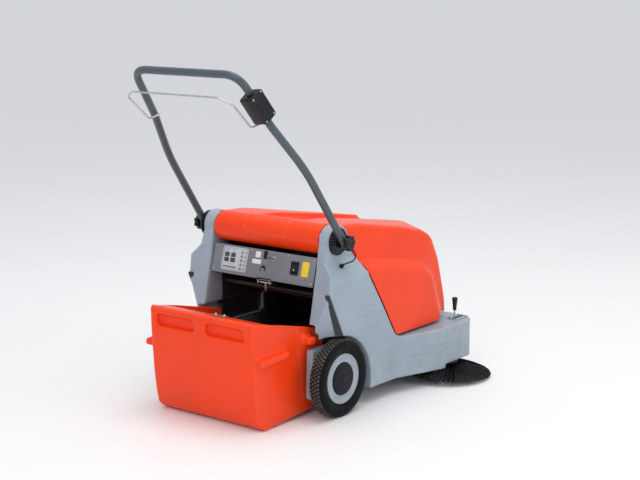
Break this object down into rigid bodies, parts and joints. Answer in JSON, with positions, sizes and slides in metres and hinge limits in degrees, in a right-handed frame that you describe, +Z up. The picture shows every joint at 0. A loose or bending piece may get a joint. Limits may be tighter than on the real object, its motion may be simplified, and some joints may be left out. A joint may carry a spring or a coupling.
{
  "type": "walk behind floor sweeper",
  "caption": "Walk-behind battery floor sweeper with roller brush, side brush, pull-out debris hopper, hinged hood, folding push handle, rear wheels and front caster.",
  "frame": {"origin": "on the floor, under the middle of the whole machine's footprint", "axes": "+Z up, +Y the way it travels, +X the operator's right when standing behind the handle"},
  "size_m": [0.8265, 1.1954, 1.1132],
  "materials": {
    "hood_plastic": "semi-gloss orange polyethylene",
    "grey_plastic": "satin grey polyethylene, scuffed",
    "console_paint": "fine-textured grey paint",
    "black_plastic": "black moulded plastic",
    "rim_plastic": "satin grey plastic",
    "cap_plastic": "dark slate plastic",
    "tyre": "black tread rubber",
    "rubber": "black rubber",
    "bristles": "black nylon bristle",
    "slate_tube": "slate powder coat",
    "dark_steel": "dark painted steel",
    "bright_steel": "zinc-plated steel",
    "decal": "printed silver film",
    "filter_paper": "pleated filter paper",
    "battery_case": "black battery housing"
  },
  "bodies": {
    "chassis": {"side_panel_right": "grey_plastic", "side_panel_left": "grey_plastic", "guard_strip_right": "dark_steel", "guard_strip_left": "dark_steel", "chassis_pan": "dark_steel", "belt_cover": "black_plastic", "front_bumper": "grey_plastic", "brush_tunnel": "dark_steel", "front_skirt": "rubber", "stub_axle_right": "bright_steel", "stub_axle_left": "bright_steel", "caster_plate": "bright_steel", "brush_motor": "dark_steel", "brush_belt": "rubber", "battery_right": "battery_case", "battery_left": "battery_case", "fan_housing": "black_plastic", "filter_cassette": "filter_paper", "filter_shaker_bar": "black_plastic", "console_plate": "console_paint", "display_panel": "decal", "rocker_frame": "black_plastic", "latch_bracket": "bright_steel", "hood_pin_right": "bright_steel", "hood_pin_left": "bright_steel", "clamp_bolt_right": "bright_steel", "clamp_bolt_left": "bright_steel", "cable_gland": "black_plastic", "handle_cable": "rubber", "lever_guide": "grey_plastic"},
    "hopper": {"hopper_bin": "hood_plastic", "hopper_catch_plate": "bright_steel"},
    "hood": {"hood": "hood_plastic"},
    "handle": {"handle_tube": "slate_tube", "switch_box": "black_plastic", "detent_disc_right": "black_plastic", "detent_disc_left": "black_plastic"},
    "bail": {"bail_wire": "bright_steel"},
    "knob_right": {"clamp_knob_right": "black_plastic"},
    "knob_left": {"clamp_knob_left": "black_plastic"},
    "wheel_right": {"tyre_right": "tyre", "wheel_rim_right": "rim_plastic", "hub_cap_right": "cap_plastic"},
    "wheel_left": {"tyre_left": "tyre", "wheel_rim_left": "rim_plastic", "hub_cap_left": "cap_plastic"},
    "caster_swivel": {"caster_fork": "bright_steel"},
    "caster_roller": {"caster_wheel": "rubber"},
    "main_brush": {"main_brush_core": "dark_steel", "main_brush_bristles": "bristles"},
    "pulley": {"motor_pulley": "bright_steel"},
    "fan": {"fan_impeller": "bright_steel"},
    "lever": {"lift_lever": "black_plastic"},
    "arm": {"side_brush_arm": "black_plastic"},
    "side_brush": {"side_brush_disc": "black_plastic", "side_brush_bristles": "bristles"},
    "pull": {"shaker_pull": "black_plastic"},
    "damper": {"damper_lever": "black_plastic"},
    "rocker": {"rocker_switch": "black_plastic"},
    "latch": {"hopper_latch": "bright_steel"}
  },
  "joints": [
    {"name": "hopper_slide", "type": "slide", "parent": "chassis", "child": "hopper", "axis": [0, 0.9971, 0.0767], "range_m": [0, 0.27]},
    {"name": "hood_hinge", "type": "hinge", "parent": "chassis", "child": "hood", "pos_m": [-0.05, -0.134, 0.559], "axis": [1, 0, 0], "range_deg": [0, 75]},
    {"name": "handle_fold", "type": "hinge", "parent": "chassis", "child": "handle", "pos_m": [-0.05, -0.146, 0.56], "axis": [1, 0, 0], "range_deg": [-115, 12], "deforming": ["handle_cable"]},
    {"name": "bail_squeeze", "type": "hinge", "parent": "handle", "child": "bail", "pos_m": [-0.05, -0.438, 0.954], "axis": [1, 0, 0], "range_deg": [-14, 0], "stiffness_Nm_per_rad": 1.5, "springref_deg": 8.59},
    {"name": "knob_right_turn", "type": "hinge", "parent": "chassis", "child": "knob_right", "pos_m": [0.267, -0.146, 0.56], "axis": [1, 0, 0], "range_deg": [0, 360]},
    {"name": "knob_left_turn", "type": "hinge", "parent": "chassis", "child": "knob_left", "pos_m": [-0.367, -0.146, 0.56], "axis": [1, 0, 0], "range_deg": [0, 360]},
    {"name": "wheel_right_roll", "type": "hinge", "parent": "chassis", "child": "wheel_right", "pos_m": [0.243, -0.17, 0.125], "axis": [1, 0, 0], "continuous": true},
    {"name": "wheel_left_roll", "type": "hinge", "parent": "chassis", "child": "wheel_left", "pos_m": [-0.343, -0.17, 0.125], "axis": [1, 0, 0], "continuous": true},
    {"name": "caster_turn", "type": "hinge", "parent": "chassis", "child": "caster_swivel", "pos_m": [-0.05, 0.478, 0.098], "axis": [0, 0, 1], "continuous": true},
    {"name": "caster_roll", "type": "hinge", "parent": "caster_swivel", "child": "caster_roller", "pos_m": [-0.05, 0.458, 0.0375], "axis": [1, 0, 0], "continuous": true},
    {"name": "main_brush_spin", "type": "hinge", "parent": "chassis", "child": "main_brush", "pos_m": [-0.05, 0.24, 0.121], "axis": [1, 0, 0], "continuous": true},
    {"name": "pulley_spin", "type": "hinge", "parent": "chassis", "child": "pulley", "pos_m": [-0.25, 0.116, 0.442], "axis": [1, 0, 0], "continuous": true},
    {"name": "fan_spin", "type": "hinge", "parent": "chassis", "child": "fan", "pos_m": [0.04, -0.03, 0.46], "axis": [0, 0, 1], "continuous": true},
    {"name": "lever_tilt", "type": "hinge", "parent": "chassis", "child": "lever", "pos_m": [0.261, 0.478, 0.125], "axis": [-1, 0, 0], "range_deg": [0, 32]},
    {"name": "arm_lift", "type": "hinge", "parent": "chassis", "child": "arm", "pos_m": [0.25, 0.274, 0.128], "axis": [1, 0, 0], "range_deg": [0, 5]},
    {"name": "side_brush_spin", "type": "hinge", "parent": "arm", "child": "side_brush", "pos_m": [0.25, 0.435, 0.046], "axis": [0.0493, 0.0493, 0.9976], "continuous": true},
    {"name": "shaker_pull_slide", "type": "slide", "parent": "chassis", "child": "pull", "axis": [0, -0.9622, 0.2723], "range_m": [0, 0.03], "stiffness_N_per_m": 120, "springref_m": -0.004},
    {"name": "damper_swing", "type": "hinge", "parent": "chassis", "child": "damper", "pos_m": [-0.054, -0.1969, 0.4417], "axis": [0, -0.9622, 0.2723], "range_deg": [-34, 14]},
    {"name": "rocker_tilt", "type": "hinge", "parent": "chassis", "child": "rocker", "pos_m": [0.0835, -0.189, 0.4623], "axis": [1, 0, 0], "range_deg": [0, 12]},
    {"name": "latch_swing", "type": "hinge", "parent": "chassis", "child": "latch", "pos_m": [-0.035, -0.2, 0.402], "axis": [-1, 0, 0], "range_deg": [0, 45]}
  ],
  "couplings": [
    {"joint": "pulley_spin", "follows": "main_brush_spin", "ratio": 2.2222},
    {"joint": "arm_lift", "follows": "lever_tilt", "ratio": 0.125}
  ]
}
